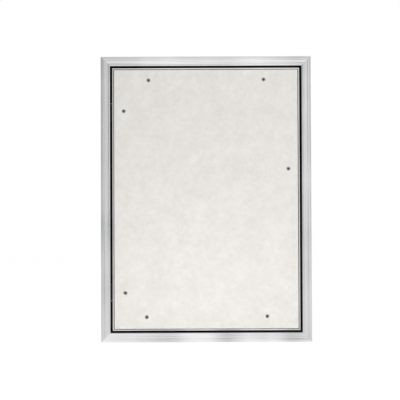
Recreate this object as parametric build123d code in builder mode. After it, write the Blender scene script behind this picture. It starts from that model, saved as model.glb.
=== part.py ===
from build123d import *
from math import acos, asin, cos, degrees, hypot, radians, sqrt, tan
import os

# Tileable access panel: a wall frame of mitred aluminium extrusions with a swinging leaf that
# carries a cement board, flush with the frame, for tiling over. Lengths are in millimetres.
# +X is to the right seen from the room, +Y runs into the wall and +Z is up. The origin is the
# centre of the board's front face, which lies in one plane with the front of the frame.

# Wall frame
frame_width = 420.0
frame_height = 570.0
frame_depth = 55.0
face_width = 18.5
frame_wall = 1.6
face_wall = 1.8
chamber_depth = 20.0
flange_front = 24.0
flange_reach = 9.0
rear_lip_width = 8.0

# Shallow relief on the front of the frame, from its outer edge inwards
edge_bevel_width = 4.0
edge_bevel_drop = 0.6
groove_place = 6.5
groove_width = 0.8
groove_depth = 0.5
dish_width = 3.0
dish_depth = 0.5
bead_width = 3.5

# Leaf
joint_gap = 4.8
leaf_depth = 20.0
leaf_lip = 2.0
leaf_wall = 1.6
leaf_chamber_width = 20.0
seat_width = 34.0
board_joint = 1.3
board_thickness = 12.5
board_edge_break = 0.4

# Corner keys
key_fit = 0.1
frame_key_leg = 42.0
leaf_key_leg = 48.0
key_hole_radius = 2.2
key_corner_radius = 1.2

# Seal that lines the joint and closes it between the frame's flange and the leaf
seal_edge = 0.1
seal_width = 8.4
seal_base = 1.2
seal_lining = 0.8
seal_front = 1.5
seal_radius = 1.4
seal_bore = 0.8
seal_bulb_place = 6.5
seal_clearance = 0.3

# Screws that hold the board, each by its distances from the leaf's nearest side edge and end edge
top_left_screw = (72.2, 24.2)
top_right_screw = (71.2, 23.2)
bottom_left_screw = (67.7, 26.7)
bottom_right_screw = (65.7, 27.7)
board_screw_head = 4.1
board_screw_radius = 2.0
board_screw_length = 19.0
screw_fit = 0.1

# Hinges, with a board screw beside each
hinge_from_top = 85.7
hinge_from_bottom = 74.7
upper_screw_inset = 22.7
lower_screw_inset = 25.2
pin_inset = 8.0
pin_depth = 8.0
pin_radius = 2.0
pin_fit = 0.06
door_opening = 95.0
arm_width = 36.0
arm_thickness = 2.5
arm_bend_radius = 3.0
swing_clearance = 0.7
foot_edge = 1.0
arm_screw_spacing = 20.0
arm_screw_head = 3.6
arm_screw_radius = 2.0
arm_screw_length = 7.0
saddle_thickness = 1.5
ear_thickness = 2.0
washer_space = 1.0
washer_thickness = 0.9
washer_radius = 4.2
pin_head_radius = 3.2
pin_head_height = 1.0
window_clearance = 1.0
seal_window_clearance = 0.4
rivet_radius = 1.6
rivet_head_radius = 2.4
rivet_head_height = 1.0
saddle_rivet_depth = 15.3
saddle_rivet_spacing = 22.0

# Push latch, with a board screw beside it
latch_height = 60.0
latch_inset = 13.0
latch_screw_inset = 22.2
strike_thickness = 1.5
strike_width = 13.0
strike_height = 26.0
strike_screw_spacing = 18.0
strike_screw_head = 2.6
strike_screw_radius = 1.5
strike_screw_length = 5.5
plunger_gap = 0.3
plunger_radius = 4.5
plunger_fit = 0.08
collar_radius = 6.1
collar_length = 3.0
spigot_radius = 2.5
spigot_length = 4.0
magnet_radius = 3.2
magnet_length = 2.5
barrel_radius = 7.5
barrel_front = 26.0
barrel_length = 26.0
barrel_nose = 4.0
barrel_bore = 6.2
end_cap_height = 1.8
end_plug_length = 2.0
nut_across_flats = 18.0
nut_thickness = 3.0
bracket_thickness = 2.0
bracket_plane = 40.0
bracket_leg = 14.0
bracket_height = 44.0
bracket_bend_radius = 3.0
bracket_margin = 5.0
bracket_rivet_spacing = 30.0
bracket_rivet_depth = 33.0
spring_radius = 4.0
spring_wire = 0.45
spring_turns = 6.0

# Holes in the frame's side walls for the screws into the wall
fixing_radius = 2.75
fixing_depth = 44.0
fixing_from_end_tall = 115.0
fixing_from_end_wide = 90.0

into_wall = Vector(0, 1, 0)
half_width = frame_width / 2
half_height = frame_height / 2
leaf_inset = face_width + joint_gap
leaf_half_width = half_width - leaf_inset
leaf_half_height = half_height - leaf_inset
inner_wall = face_width - frame_wall
flange_end = face_width + flange_reach
pin_x = pin_inset - half_width
leaf_left = -leaf_half_width
latch_x = leaf_half_width - latch_inset
plunger_tip = leaf_depth + strike_thickness + plunger_gap
hinge_heights = {
    "upper": leaf_half_height - hinge_from_top,
    "lower": hinge_from_bottom - leaf_half_height,
}

# Each side by the direction from its outer edge to the middle of the panel
sides = {
    "top_rail": Vector(0, 0, -1),
    "bottom_rail": Vector(0, 0, 1),
    "left_stile": Vector(1, 0, 0),
    "right_stile": Vector(-1, 0, 0),
}
corners = {
    "top_left": (-1, 1),
    "top_right": (1, 1),
    "bottom_left": (-1, -1),
    "bottom_right": (1, -1),
}

os.makedirs("parts", exist_ok=True)


def save(piece, label):
    """Name a finished piece and write its STEP file."""
    piece.part.label = label
    export_step(piece.part, f"parts/{label}.step")


# Planes on a side of a rectangle, half of which is across and along that side


def spans(inward, wide, high):
    """Half sizes across and along a side."""
    return (wide, high) if inward.X else (high, wide)


def section_plane(inward, across):
    """Local x runs inwards from the outer edge and local y into the wall."""
    return Plane(origin=inward * -across, x_dir=inward, z_dir=inward.cross(into_wall))


def face_plane(inward, across):
    """Local x runs inwards from the outer edge and local z into the wall."""
    return Plane(origin=inward * -across, x_dir=inward, z_dir=into_wall)


def wall_plane(inward, distance):
    """Local x runs into the wall and local z inwards, at a distance from the middle."""
    return Plane(origin=inward * -distance, x_dir=into_wall, z_dir=inward)


def rear_plane(depth):
    """Seen from behind: local x is world -X and local y is world +Z."""
    return Plane(origin=into_wall * depth, x_dir=(-1, 0, 0), z_dir=into_wall)


# Sections of the extrusions, with x inwards from the outer edge and y into the wall


def frame_section():
    """Hollow front chamber, stop flange behind the leaf, deep outer wall and rear lip."""
    bead_start = face_width - bead_width
    dish_start = bead_start - dish_width
    flange_rear = flange_front + frame_wall
    with BuildSketch() as section:
        with BuildLine():
            Polyline(
                (0, edge_bevel_drop),
                (edge_bevel_width, 0),
                (groove_place - groove_width / 2, 0),
                (groove_place, groove_depth),
                (groove_place + groove_width / 2, 0),
                (dish_start, 0),
                (dish_start, dish_depth),
                (bead_start, dish_depth),
            )
            ThreePointArc(
                (bead_start, dish_depth),
                (face_width - bead_width / 2, 0),
                (face_width, dish_depth),
            )
            Polyline(
                (face_width, dish_depth),
                (face_width, flange_front),
                (flange_end, flange_front),
                (flange_end, flange_rear),
                (inner_wall, flange_rear),
                (inner_wall, chamber_depth),
                (frame_wall, chamber_depth),
                (frame_wall, frame_depth - frame_wall),
                (rear_lip_width, frame_depth - frame_wall),
                (rear_lip_width, frame_depth),
                (0, frame_depth),
                (0, edge_bevel_drop),
            )
        make_face()
        with Locations((frame_wall, face_wall)):
            Rectangle(
                inner_wall - frame_wall,
                chamber_depth - frame_wall - face_wall,
                align=(Align.MIN, Align.MIN),
                mode=Mode.SUBTRACT,
            )
    return section.sketch


def leaf_section():
    """Thin lip round the board, the board's seat, and a flat chamber behind it."""
    seat_rear = board_thickness + leaf_wall
    with BuildSketch() as section:
        with BuildLine():
            Polyline(
                (0, 0),
                (leaf_lip, 0),
                (leaf_lip, board_thickness),
                (seat_width, board_thickness),
                (seat_width, seat_rear),
                (leaf_chamber_width, seat_rear),
                (leaf_chamber_width, leaf_depth),
                (0, leaf_depth),
                close=True,
            )
        make_face()
        with Locations((leaf_lip, seat_rear)):
            Rectangle(
                leaf_chamber_width - leaf_wall - leaf_lip,
                leaf_depth - leaf_wall - seat_rear,
                align=(Align.MIN, Align.MIN),
                mode=Mode.SUBTRACT,
            )
    return section.sketch


def seal_section():
    """Lining down the joint, a base on the flange and a hollow bulb that the leaf meets."""
    bulb_centre = (face_width + seal_bulb_place, leaf_depth + seal_clearance + seal_radius)
    lining_length = flange_front - seal_front
    with BuildSketch() as section:
        with Locations((face_width + seal_edge, flange_front - seal_base)):
            Rectangle(seal_width, seal_base, align=(Align.MIN, Align.MIN))
        with Locations((face_width + seal_edge, seal_front)):
            Rectangle(seal_lining, lining_length, align=(Align.MIN, Align.MIN))
        with Locations(bulb_centre):
            Circle(seal_radius)
        with Locations(bulb_centre):
            Circle(seal_bore, mode=Mode.SUBTRACT)
    return section.sketch


def mitre_outline(along, reach):
    """Plan of a side that is cut at 45 degrees at both ends."""
    with BuildSketch() as outline:
        with BuildLine():
            Polyline(
                (0, along),
                (reach, along - reach),
                (reach, reach - along),
                (0, -along),
                close=True,
            )
        make_face()
    return outline.sketch


def mitred_bar(section, inward, across, along, reach, depth):
    """An extrusion along one side, mitred at both ends."""
    with BuildPart() as bar:
        with BuildSketch(section_plane(inward, across)):
            add(section)
        extrude(amount=along, both=True)
        with BuildSketch(face_plane(inward, across)):
            add(mitre_outline(along, reach))
        extrude(amount=depth, mode=Mode.INTERSECT)
    return bar.part


# Fasteners, with the top of the head at z = 0 and the shank towards -z


def countersunk_screw(head_radius, shank_radius, length):
    """Self-drilling screw with a countersunk head and a cross recess."""
    cone_end = head_radius - shank_radius
    with BuildPart() as screw:
        with BuildSketch(Plane.XZ):
            with BuildLine():
                Polyline(
                    (0, 0),
                    (head_radius, 0),
                    (shank_radius, -cone_end),
                    (shank_radius, shank_radius - length),
                    (0, -length),
                    close=True,
                )
            make_face()
        revolve(axis=Axis.Z)
        with BuildSketch():
            Rectangle(head_radius * 1.15, head_radius / 4)
            Rectangle(head_radius / 4, head_radius * 1.15)
        extrude(amount=-head_radius / 4, mode=Mode.SUBTRACT)
    return screw.part


def rivet(grip):
    """Blind rivet with a domed head above z = 0, flush at the far end of its grip."""
    dome_radius = (rivet_head_radius**2 + rivet_head_height**2) / (2 * rivet_head_height)
    dome_centre = rivet_head_height - dome_radius
    dome_start = degrees(asin(-dome_centre / dome_radius))
    with BuildPart() as pin:
        with BuildSketch(Plane.XZ):
            with BuildLine():
                Polyline((0, rivet_head_height), (0, -grip), (rivet_radius, -grip))
                Polyline((rivet_radius, -grip), (rivet_radius, 0), (rivet_head_radius, 0))
                CenterArc((0, dome_centre), dome_radius, dome_start, 90 - dome_start)
            make_face()
        revolve(axis=Axis.Z)
    return pin.part


# Places that several pieces share


def hinge_window(height, clearance):
    """Opening in the left stile or its seal that a hinge arm swings through."""
    past_square = radians(door_opening - 90)
    arm_front = (face_width - pin_inset) * tan(past_square) + arm_thickness / 2 / cos(past_square)
    front = pin_depth - arm_front - swing_clearance / 2
    outer = pin_inset - arm_thickness / 2 - window_clearance
    with BuildPart() as window:
        with BuildSketch(Plane.XY.offset(height - arm_width / 2 - clearance)):
            with Locations((outer - half_width, front)):
                Rectangle(
                    flange_end + window_clearance - outer,
                    flange_front + frame_wall + window_clearance - front,
                    align=(Align.MIN, Align.MIN),
                )
        extrude(amount=arm_width + 2 * clearance)
    return window.part


def screw_places():
    """Every board screw as x and z."""
    return [
        (top_left_screw[0] - leaf_half_width, leaf_half_height - top_left_screw[1]),
        (leaf_half_width - top_right_screw[0], leaf_half_height - top_right_screw[1]),
        (bottom_left_screw[0] - leaf_half_width, bottom_left_screw[1] - leaf_half_height),
        (leaf_half_width - bottom_right_screw[0], bottom_right_screw[1] - leaf_half_height),
        (upper_screw_inset - leaf_half_width, hinge_heights["upper"]),
        (lower_screw_inset - leaf_half_width, hinge_heights["lower"]),
        (leaf_half_width - latch_screw_inset, latch_height),
    ]


def arm_screw_places(height):
    """Screws through a hinge arm's foot, as x and z."""
    middle = leaf_left + (leaf_chamber_width + leaf_lip) / 2
    offset = arm_screw_spacing / 2
    return [(middle, height - offset), (middle, height + offset)]


def strike_screw_places():
    """Screws through the strike plate, as x and z."""
    offset = strike_screw_spacing / 2
    return [(latch_x, latch_height - offset), (latch_x, latch_height + offset)]


# Wall frame


def frame_side(label, inward):
    """One side of the wall frame, with its two fixing holes."""
    across, along = spans(inward, half_width, half_height)
    fixing_place = along - (fixing_from_end_tall if inward.X else fixing_from_end_wide)
    with BuildPart() as side:
        add(mitred_bar(frame_section(), inward, across, along, flange_end, frame_depth))
        with BuildSketch(wall_plane(inward, across)):
            with Locations((fixing_depth, fixing_place), (fixing_depth, -fixing_place)):
                Circle(fixing_radius)
        extrude(amount=frame_wall, mode=Mode.SUBTRACT)
        if label == "frame_left_stile":
            for height in hinge_heights.values():
                add(hinge_window(height, window_clearance), mode=Mode.SUBTRACT)
            with BuildSketch(wall_plane(inward, across)):
                for height in hinge_heights.values():
                    with Locations((saddle_rivet_depth, height)):
                        with GridLocations(0, saddle_rivet_spacing, 1, 2):
                            Circle(rivet_radius + key_fit)
            extrude(amount=frame_wall, mode=Mode.SUBTRACT)
        if label == "frame_right_stile":
            with BuildSketch(wall_plane(inward, across)):
                with Locations((bracket_rivet_depth, -latch_height)):
                    with GridLocations(0, bracket_rivet_spacing, 1, 2):
                        Circle(rivet_radius + key_fit)
            extrude(amount=frame_wall, mode=Mode.SUBTRACT)
    save(side, label)


def corner_key(label, corner, outside, width, leg, front, depth):
    """L-shaped key that joins two mitred sides from inside their chambers."""
    toward_x, toward_z = corner
    outer_x, outer_z = outside
    with BuildPart() as key:
        with BuildSketch(Plane.XZ.offset(-front)) as outline:
            with BuildLine():
                Polyline(
                    (toward_x * outer_x, toward_z * outer_z),
                    (toward_x * (outer_x - leg), toward_z * outer_z),
                    (toward_x * (outer_x - leg), toward_z * (outer_z - width)),
                    (toward_x * (outer_x - width), toward_z * (outer_z - width)),
                    (toward_x * (outer_x - width), toward_z * (outer_z - leg)),
                    (toward_x * outer_x, toward_z * (outer_z - leg)),
                    close=True,
                )
            make_face()
            inner_corner = (toward_x * (outer_x - width), toward_z * (outer_z - width))
            free_corners = outline.vertices().sort_by_distance(inner_corner)[1:]
            fillet(free_corners, radius=key_corner_radius)
            with Locations(
                (toward_x * (outer_x - leg * 0.7), toward_z * (outer_z - width / 2)),
                (toward_x * (outer_x - width / 2), toward_z * (outer_z - leg * 0.7)),
            ):
                Circle(key_hole_radius, mode=Mode.SUBTRACT)
        extrude(amount=-depth)
    save(key, label)


def frame_corner_keys():
    """Four keys in the frame's front chamber."""
    inset = frame_wall + key_fit
    for corner_name, corner in corners.items():
        corner_key(
            f"frame_corner_key_{corner_name}",
            corner,
            (half_width - inset, half_height - inset),
            inner_wall - frame_wall - 2 * key_fit,
            frame_key_leg,
            face_wall + key_fit,
            chamber_depth - frame_wall - face_wall - 2 * key_fit,
        )


def seals():
    """Four seal strips in the joint, the left one cut out round the hinge arms."""
    for side_name, inward in sides.items():
        across, along = spans(inward, half_width, half_height)
        with BuildPart() as strip:
            add(mitred_bar(seal_section(), inward, across, along, flange_end, frame_depth))
            if side_name == "left_stile":
                for height in hinge_heights.values():
                    add(hinge_window(height, seal_window_clearance), mode=Mode.SUBTRACT)
        save(strip, "seal_" + side_name.split("_")[0])


# Leaf


def leaf_side(label, inward):
    """One side of the leaf, with holes for the screws of the board and the fittings."""
    across, along = spans(inward, leaf_half_width, leaf_half_height)
    with BuildPart() as side:
        add(mitred_bar(leaf_section(), inward, across, along, seat_width, leaf_depth))
        with BuildSketch(Plane.XZ.offset(-board_thickness)):
            with Locations(*screw_places()):
                Circle(board_screw_radius + screw_fit)
        extrude(amount=-leaf_wall, mode=Mode.SUBTRACT)
        if label == "leaf_left_stile":
            with BuildSketch(Plane.XZ.offset(leaf_wall - leaf_depth)):
                for height in hinge_heights.values():
                    with Locations(*arm_screw_places(height)):
                        Circle(arm_screw_radius + screw_fit)
            extrude(amount=-leaf_wall, mode=Mode.SUBTRACT)
        if label == "leaf_right_stile":
            with BuildSketch(Plane.XZ.offset(leaf_wall - leaf_depth)):
                with Locations(*strike_screw_places()):
                    Circle(strike_screw_radius + screw_fit)
            extrude(amount=-leaf_wall, mode=Mode.SUBTRACT)
    save(side, label)


def leaf_corner_keys():
    """Four flat keys in the leaf's chamber."""
    inset = leaf_lip + key_fit
    seat_rear = board_thickness + leaf_wall
    for corner_name, corner in corners.items():
        corner_key(
            f"leaf_corner_key_{corner_name}",
            corner,
            (leaf_half_width - inset, leaf_half_height - inset),
            leaf_chamber_width - leaf_wall - leaf_lip - 2 * key_fit,
            leaf_key_leg,
            seat_rear + key_fit,
            leaf_depth - leaf_wall - seat_rear - 2 * key_fit,
        )


def infill_board():
    """Cement board on the leaf's seat, with broken edges and countersunk holes."""
    edge = leaf_lip + board_joint
    with BuildPart() as board:
        with BuildSketch(Plane.XZ):
            Rectangle(2 * (leaf_half_width - edge), 2 * (leaf_half_height - edge))
        extrude(amount=-board_thickness)
        chamfer(board.faces().sort_by(Axis.Y)[0].edges(), length=board_edge_break)
        with Locations(Plane.XZ):
            with Locations(*screw_places()):
                CounterSinkHole(
                    radius=board_screw_radius + screw_fit,
                    counter_sink_radius=board_screw_head + screw_fit,
                    depth=board_thickness,
                    counter_sink_angle=90,
                )
    save(board, "infill_board")


def board_screws():
    """Seven countersunk screws that hold the board to the leaf's seat."""
    screw = countersunk_screw(board_screw_head, board_screw_radius, board_screw_length)
    with BuildPart() as screws:
        with Locations(Plane.XZ):
            with Locations(*screw_places()):
                add(screw)
    save(screws, "board_screws")


# Hinges


def hinge_arm(label, height):
    """Bent strip, rolled round the pin, that reaches round the leaf's corner to its back."""
    corner_x = leaf_left - pin_x
    corner_y = leaf_depth - pin_depth
    inner = hypot(corner_x, corner_y) + swing_clearance
    outer = inner + arm_thickness
    half = arm_thickness / 2
    foot_rear = leaf_depth + arm_thickness
    inner_start = degrees(asin(corner_y / inner))
    outer_start = degrees(asin((foot_rear - pin_depth) / outer))
    inner_end = degrees(acos(half / inner))
    outer_end = degrees(acos(-half / outer))
    foot_end = leaf_left + leaf_chamber_width - foot_edge
    inner_foot = pin_x + sqrt(inner**2 - corner_y**2)
    outer_foot = pin_x + sqrt(outer**2 - (foot_rear - pin_depth) ** 2)
    leg_rear_inner = pin_depth + sqrt(inner**2 - half**2)
    leg_rear_outer = pin_depth + sqrt(outer**2 - half**2)
    with BuildPart() as arm:
        with BuildSketch(Plane.XY.offset(height - arm_width / 2)) as outline:
            with BuildLine():
                CenterArc((pin_x, pin_depth), outer, outer_start, outer_end - outer_start)
                Polyline(
                    (pin_x - half, leg_rear_outer),
                    (pin_x - half, pin_depth),
                    (pin_x + half, pin_depth),
                    (pin_x + half, leg_rear_inner),
                )
                CenterArc((pin_x, pin_depth), inner, inner_start, inner_end - inner_start)
                Polyline(
                    (inner_foot, leaf_depth),
                    (foot_end, leaf_depth),
                    (foot_end, foot_rear),
                    (outer_foot, foot_rear),
                )
            make_face()
            bends = outline.vertices().filter_by_position(Axis.Y, foot_rear, leg_rear_outer)
            bends = bends.filter_by_position(Axis.X, pin_x - arm_thickness, outer_foot)
            fillet(bends.sort_by(Axis.Y)[-1], radius=arm_bend_radius)
            with Locations((pin_x, pin_depth)):
                Circle(pin_radius + arm_thickness)
            with Locations((pin_x, pin_depth)):
                Circle(pin_radius + pin_fit, mode=Mode.SUBTRACT)
        extrude(amount=arm_width)
        with Locations(rear_plane(foot_rear)):
            with Locations(*[(-x, z) for x, z in arm_screw_places(height)]):
                CounterSinkHole(
                    radius=arm_screw_radius + screw_fit,
                    counter_sink_radius=arm_screw_head + screw_fit,
                    depth=arm_thickness,
                    counter_sink_angle=90,
                )
    save(arm, label)


def hinge_saddle(label, height):
    """U-shaped saddle on the frame's side wall, with an ear above and below the arm."""
    ear_start = arm_width / 2 + washer_space
    saddle_half = ear_start + ear_thickness
    ear_radius = pin_radius + arm_thickness
    base_x = frame_wall - half_width
    base_front = face_wall + key_fit
    base_rear = chamber_depth - frame_wall - key_fit
    with BuildPart() as saddle:
        with BuildSketch(Plane.XY.offset(height - saddle_half)):
            with Locations((base_x, base_front)):
                Rectangle(
                    saddle_thickness,
                    base_rear - base_front,
                    align=(Align.MIN, Align.MIN),
                )
        extrude(amount=2 * saddle_half)
        for ear_base in (height - saddle_half, height + ear_start):
            with BuildSketch(Plane.XY.offset(ear_base)):
                with Locations((base_x, pin_depth)):
                    Rectangle(
                        pin_x - base_x,
                        2 * ear_radius,
                        align=(Align.MIN, Align.CENTER),
                    )
                with Locations((pin_x, pin_depth)):
                    Circle(ear_radius)
            extrude(amount=ear_thickness)
        with BuildSketch(Plane.XY.offset(height - saddle_half)):
            with Locations((pin_x, pin_depth)):
                Circle(pin_radius + pin_fit)
        extrude(amount=2 * saddle_half, mode=Mode.SUBTRACT)
        with BuildSketch(wall_plane(Vector(1, 0, 0), half_width - frame_wall)):
            with Locations((saddle_rivet_depth, height)):
                with GridLocations(0, saddle_rivet_spacing, 1, 2):
                    Circle(rivet_radius + key_fit)
        extrude(amount=saddle_thickness, mode=Mode.SUBTRACT)
    save(saddle, label)


def hinge_pin(label, height):
    """Headed pin through both ears and the arm's knuckle, spread at its lower end."""
    saddle_half = arm_width / 2 + washer_space + ear_thickness
    with BuildPart() as pin:
        with BuildSketch(Plane.XY.offset(height - saddle_half - pin_head_height)):
            with Locations((pin_x, pin_depth)):
                Circle(pin_radius)
        extrude(amount=2 * (saddle_half + pin_head_height))
        for base in (height + saddle_half, height - saddle_half - pin_head_height):
            with BuildSketch(Plane.XY.offset(base)):
                with Locations((pin_x, pin_depth)):
                    Circle(pin_head_radius)
            extrude(amount=pin_head_height)
        chamfer(pin.edges().group_by(Axis.Z)[-1], length=pin_head_height / 3)
        chamfer(pin.edges().group_by(Axis.Z)[0], length=pin_head_height / 3)
    save(pin, label)


def hinge_washers(label, height):
    """Thrust washers between the arm's knuckle and the two ears."""
    middle = (arm_width + washer_space) / 2
    with BuildPart() as washers:
        for centre in (height - middle, height + middle):
            with BuildSketch(Plane.XY.offset(centre - washer_thickness / 2)):
                with Locations((pin_x, pin_depth)):
                    Circle(washer_radius)
                with Locations((pin_x, pin_depth)):
                    Circle(pin_radius + pin_fit, mode=Mode.SUBTRACT)
            extrude(amount=washer_thickness)
    save(washers, label)


def saddle_rivets(label, height):
    """Rivets that hold a saddle to the frame's side wall."""
    head_plane = wall_plane(Vector(1, 0, 0), half_width - frame_wall - saddle_thickness)
    grip = frame_wall + saddle_thickness
    with BuildPart() as rivets:
        with Locations(head_plane):
            with Locations((saddle_rivet_depth, height)):
                with GridLocations(0, saddle_rivet_spacing, 1, 2):
                    add(rivet(grip))
    save(rivets, label)


def arm_screws(label, height):
    """Screws that hold a hinge arm's foot to the back of the leaf."""
    screw = countersunk_screw(arm_screw_head, arm_screw_radius, arm_screw_length)
    with BuildPart() as screws:
        with Locations(rear_plane(leaf_depth + arm_thickness)):
            with Locations(*[(-x, z) for x, z in arm_screw_places(height)]):
                add(screw)
    save(screws, label)


# Push latch


def latch_axis_plane(depth):
    """Across the latch's axis at a depth, with local z into the wall."""
    return Plane(origin=(latch_x, depth, latch_height), x_dir=(-1, 0, 0), z_dir=into_wall)


def strike_plate():
    """Steel plate on the back of the leaf that the magnet holds."""
    with BuildPart() as plate:
        with BuildSketch(latch_axis_plane(leaf_depth)):
            RectangleRounded(strike_width, strike_height, radius=strike_screw_head / 2)
        extrude(amount=strike_thickness)
        with Locations(latch_axis_plane(leaf_depth + strike_thickness)):
            with GridLocations(0, strike_screw_spacing, 1, 2):
                CounterSinkHole(
                    radius=strike_screw_radius + screw_fit,
                    counter_sink_radius=strike_screw_head + screw_fit,
                    depth=strike_thickness,
                    counter_sink_angle=90,
                )
    save(plate, "strike_plate")


def strike_screws():
    """Screws that hold the strike plate to the leaf."""
    screw = countersunk_screw(strike_screw_head, strike_screw_radius, strike_screw_length)
    with BuildPart() as screws:
        with Locations(latch_axis_plane(leaf_depth + strike_thickness)):
            with GridLocations(0, strike_screw_spacing, 1, 2):
                add(screw)
    save(screws, "strike_plate_screws")


def latch_bracket():
    """Bent bracket on the frame's side wall that carries the latch across its plate."""
    wall_x = half_width - frame_wall
    plate_end = latch_x - nut_across_flats / 2 - bracket_margin
    with BuildPart() as bracket:
        with BuildSketch(Plane.XY.offset(latch_height - bracket_height / 2)) as angle:
            with BuildLine():
                Polyline(
                    (wall_x, bracket_plane + bracket_thickness),
                    (wall_x, bracket_plane - bracket_leg),
                    (wall_x - bracket_thickness, bracket_plane - bracket_leg),
                    (wall_x - bracket_thickness, bracket_plane),
                    (plate_end, bracket_plane),
                    (plate_end, bracket_plane + bracket_thickness),
                    close=True,
                )
            make_face()
            outer_bend = angle.vertices().sort_by(Axis.X)[-2:].sort_by(Axis.Y)[-1]
            fillet(outer_bend, radius=bracket_bend_radius)
        extrude(amount=bracket_height)
        fillet(
            bracket.edges().filter_by(Axis.Y).group_by(Axis.X)[0],
            radius=bracket_margin,
        )
        with BuildSketch(latch_axis_plane(bracket_plane)):
            Circle(barrel_radius + key_fit)
        extrude(amount=bracket_thickness, mode=Mode.SUBTRACT)
        with BuildSketch(wall_plane(Vector(-1, 0, 0), wall_x)):
            with Locations((bracket_rivet_depth, -latch_height)):
                with GridLocations(0, bracket_rivet_spacing, 1, 2):
                    Circle(rivet_radius + key_fit)
        extrude(amount=bracket_thickness, mode=Mode.SUBTRACT)
    save(bracket, "latch_bracket")


def latch_rivets():
    """Rivets that hold the latch bracket to the frame's side wall."""
    head_plane = wall_plane(Vector(-1, 0, 0), half_width - frame_wall - bracket_thickness)
    grip = frame_wall + bracket_thickness
    with BuildPart() as rivets:
        with Locations(head_plane):
            with Locations((bracket_rivet_depth, -latch_height)):
                with GridLocations(0, bracket_rivet_spacing, 1, 2):
                    add(rivet(grip))
    save(rivets, "latch_rivets")


def latch_barrel():
    """Threaded barrel with a narrow nose bore and a wider bore for the spring."""
    with BuildPart() as barrel:
        with BuildSketch(latch_axis_plane(barrel_front)):
            Circle(barrel_radius)
            Circle(plunger_radius + plunger_fit, mode=Mode.SUBTRACT)
        extrude(amount=barrel_length)
        with BuildSketch(latch_axis_plane(barrel_front + barrel_nose)):
            Circle(barrel_bore)
        extrude(amount=barrel_length - barrel_nose, mode=Mode.SUBTRACT)
        chamfer(
            barrel.faces().sort_by(Axis.Y)[0].outer_wire().edges(),
            length=(barrel_radius - barrel_bore) / 2,
        )
    save(barrel, "latch_barrel")


def latch_end_cap():
    """Cap that closes the back of the barrel and carries the spring."""
    barrel_rear = barrel_front + barrel_length
    with BuildPart() as cap:
        with BuildSketch(latch_axis_plane(barrel_rear - end_plug_length)):
            Circle(barrel_bore - plunger_fit)
        extrude(amount=end_plug_length)
        with BuildSketch(latch_axis_plane(barrel_rear)):
            Circle(barrel_radius)
        extrude(amount=end_cap_height)
        chamfer(cap.faces().sort_by(Axis.Y)[-1].edges(), length=end_cap_height / 3)
    save(cap, "latch_end_cap")


def latch_nuts():
    """Two nuts that clamp the barrel to its bracket and set its depth."""
    with BuildPart() as nuts:
        for front in (bracket_plane - nut_thickness, bracket_plane + bracket_thickness):
            with BuildSketch(latch_axis_plane(front)):
                RegularPolygon(nut_across_flats / 2, 6, major_radius=False)
                Circle(barrel_radius + key_fit, mode=Mode.SUBTRACT)
            extrude(amount=nut_thickness)
    save(nuts, "latch_nuts")


def latch_plunger():
    """Plunger with a pocket for the magnet, a stop collar and a spigot for the spring."""
    collar_front = barrel_front + barrel_nose + plunger_gap
    collar_rear = collar_front + collar_length
    with BuildPart() as plunger:
        with BuildSketch(latch_axis_plane(plunger_tip)):
            Circle(plunger_radius)
        extrude(amount=collar_front - plunger_tip)
        with BuildSketch(latch_axis_plane(collar_front)):
            Circle(collar_radius)
        extrude(amount=collar_length)
        with BuildSketch(latch_axis_plane(collar_rear)):
            Circle(spigot_radius)
        extrude(amount=spigot_length)
        nose = plunger.faces().sort_by(Axis.Y)[0]
        chamfer(nose.edges(), length=plunger_gap)
        with BuildSketch(latch_axis_plane(plunger_tip)):
            Circle(magnet_radius + plunger_fit)
        extrude(amount=magnet_length, mode=Mode.SUBTRACT)
    save(plunger, "latch_plunger")


def latch_magnet():
    """Disc magnet in the plunger's nose."""
    with BuildPart() as magnet:
        with BuildSketch(latch_axis_plane(plunger_tip)):
            Circle(magnet_radius)
        extrude(amount=magnet_length)
    save(magnet, "latch_magnet")


def latch_spring():
    """Coil spring between the plunger's collar and the end cap."""
    collar_rear = barrel_front + barrel_nose + plunger_gap + collar_length
    front = collar_rear + spring_wire
    rear = barrel_front + barrel_length - end_plug_length - spring_wire
    with BuildPart() as spring:
        with BuildLine() as coil:
            Helix(
                pitch=(rear - front) / spring_turns,
                height=rear - front,
                radius=spring_radius,
                center=(latch_x, front, latch_height),
                direction=(0, 1, 0),
            )
        with BuildSketch(Plane(origin=coil.line @ 0, z_dir=coil.line % 0)):
            Circle(spring_wire)
        sweep(is_frenet=True)
    save(spring, "latch_spring")


for side_label, side_inward in sides.items():
    frame_side(f"frame_{side_label}", side_inward)
    leaf_side(f"leaf_{side_label}", side_inward)
frame_corner_keys()
leaf_corner_keys()
seals()
infill_board()
board_screws()

for hinge_name, hinge_height in hinge_heights.items():
    hinge_arm(f"hinge_arm_{hinge_name}", hinge_height)
    hinge_saddle(f"hinge_saddle_{hinge_name}", hinge_height)
    hinge_pin(f"hinge_pin_{hinge_name}", hinge_height)
    hinge_washers(f"hinge_washers_{hinge_name}", hinge_height)
    saddle_rivets(f"saddle_rivets_{hinge_name}", hinge_height)
    arm_screws(f"hinge_arm_screws_{hinge_name}", hinge_height)

strike_plate()
strike_screws()
latch_bracket()
latch_rivets()
latch_barrel()
latch_end_cap()
latch_nuts()
latch_plunger()
latch_magnet()
latch_spring()
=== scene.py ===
"""Finishes the tileable access panel: mill aluminium, cement board, screws, hinges and latch.

Lengths are in metres in the part's own frame: +X to the right seen from the room, +Y into the
wall, +Z up, with the origin in the middle of the board's front face.
"""

import logging
import math
from dataclasses import dataclass
from enum import Enum
from functools import partial
from typing import Callable, Mapping, Sequence

import bmesh
import bpy
from mathutils import Matrix, Vector


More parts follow.
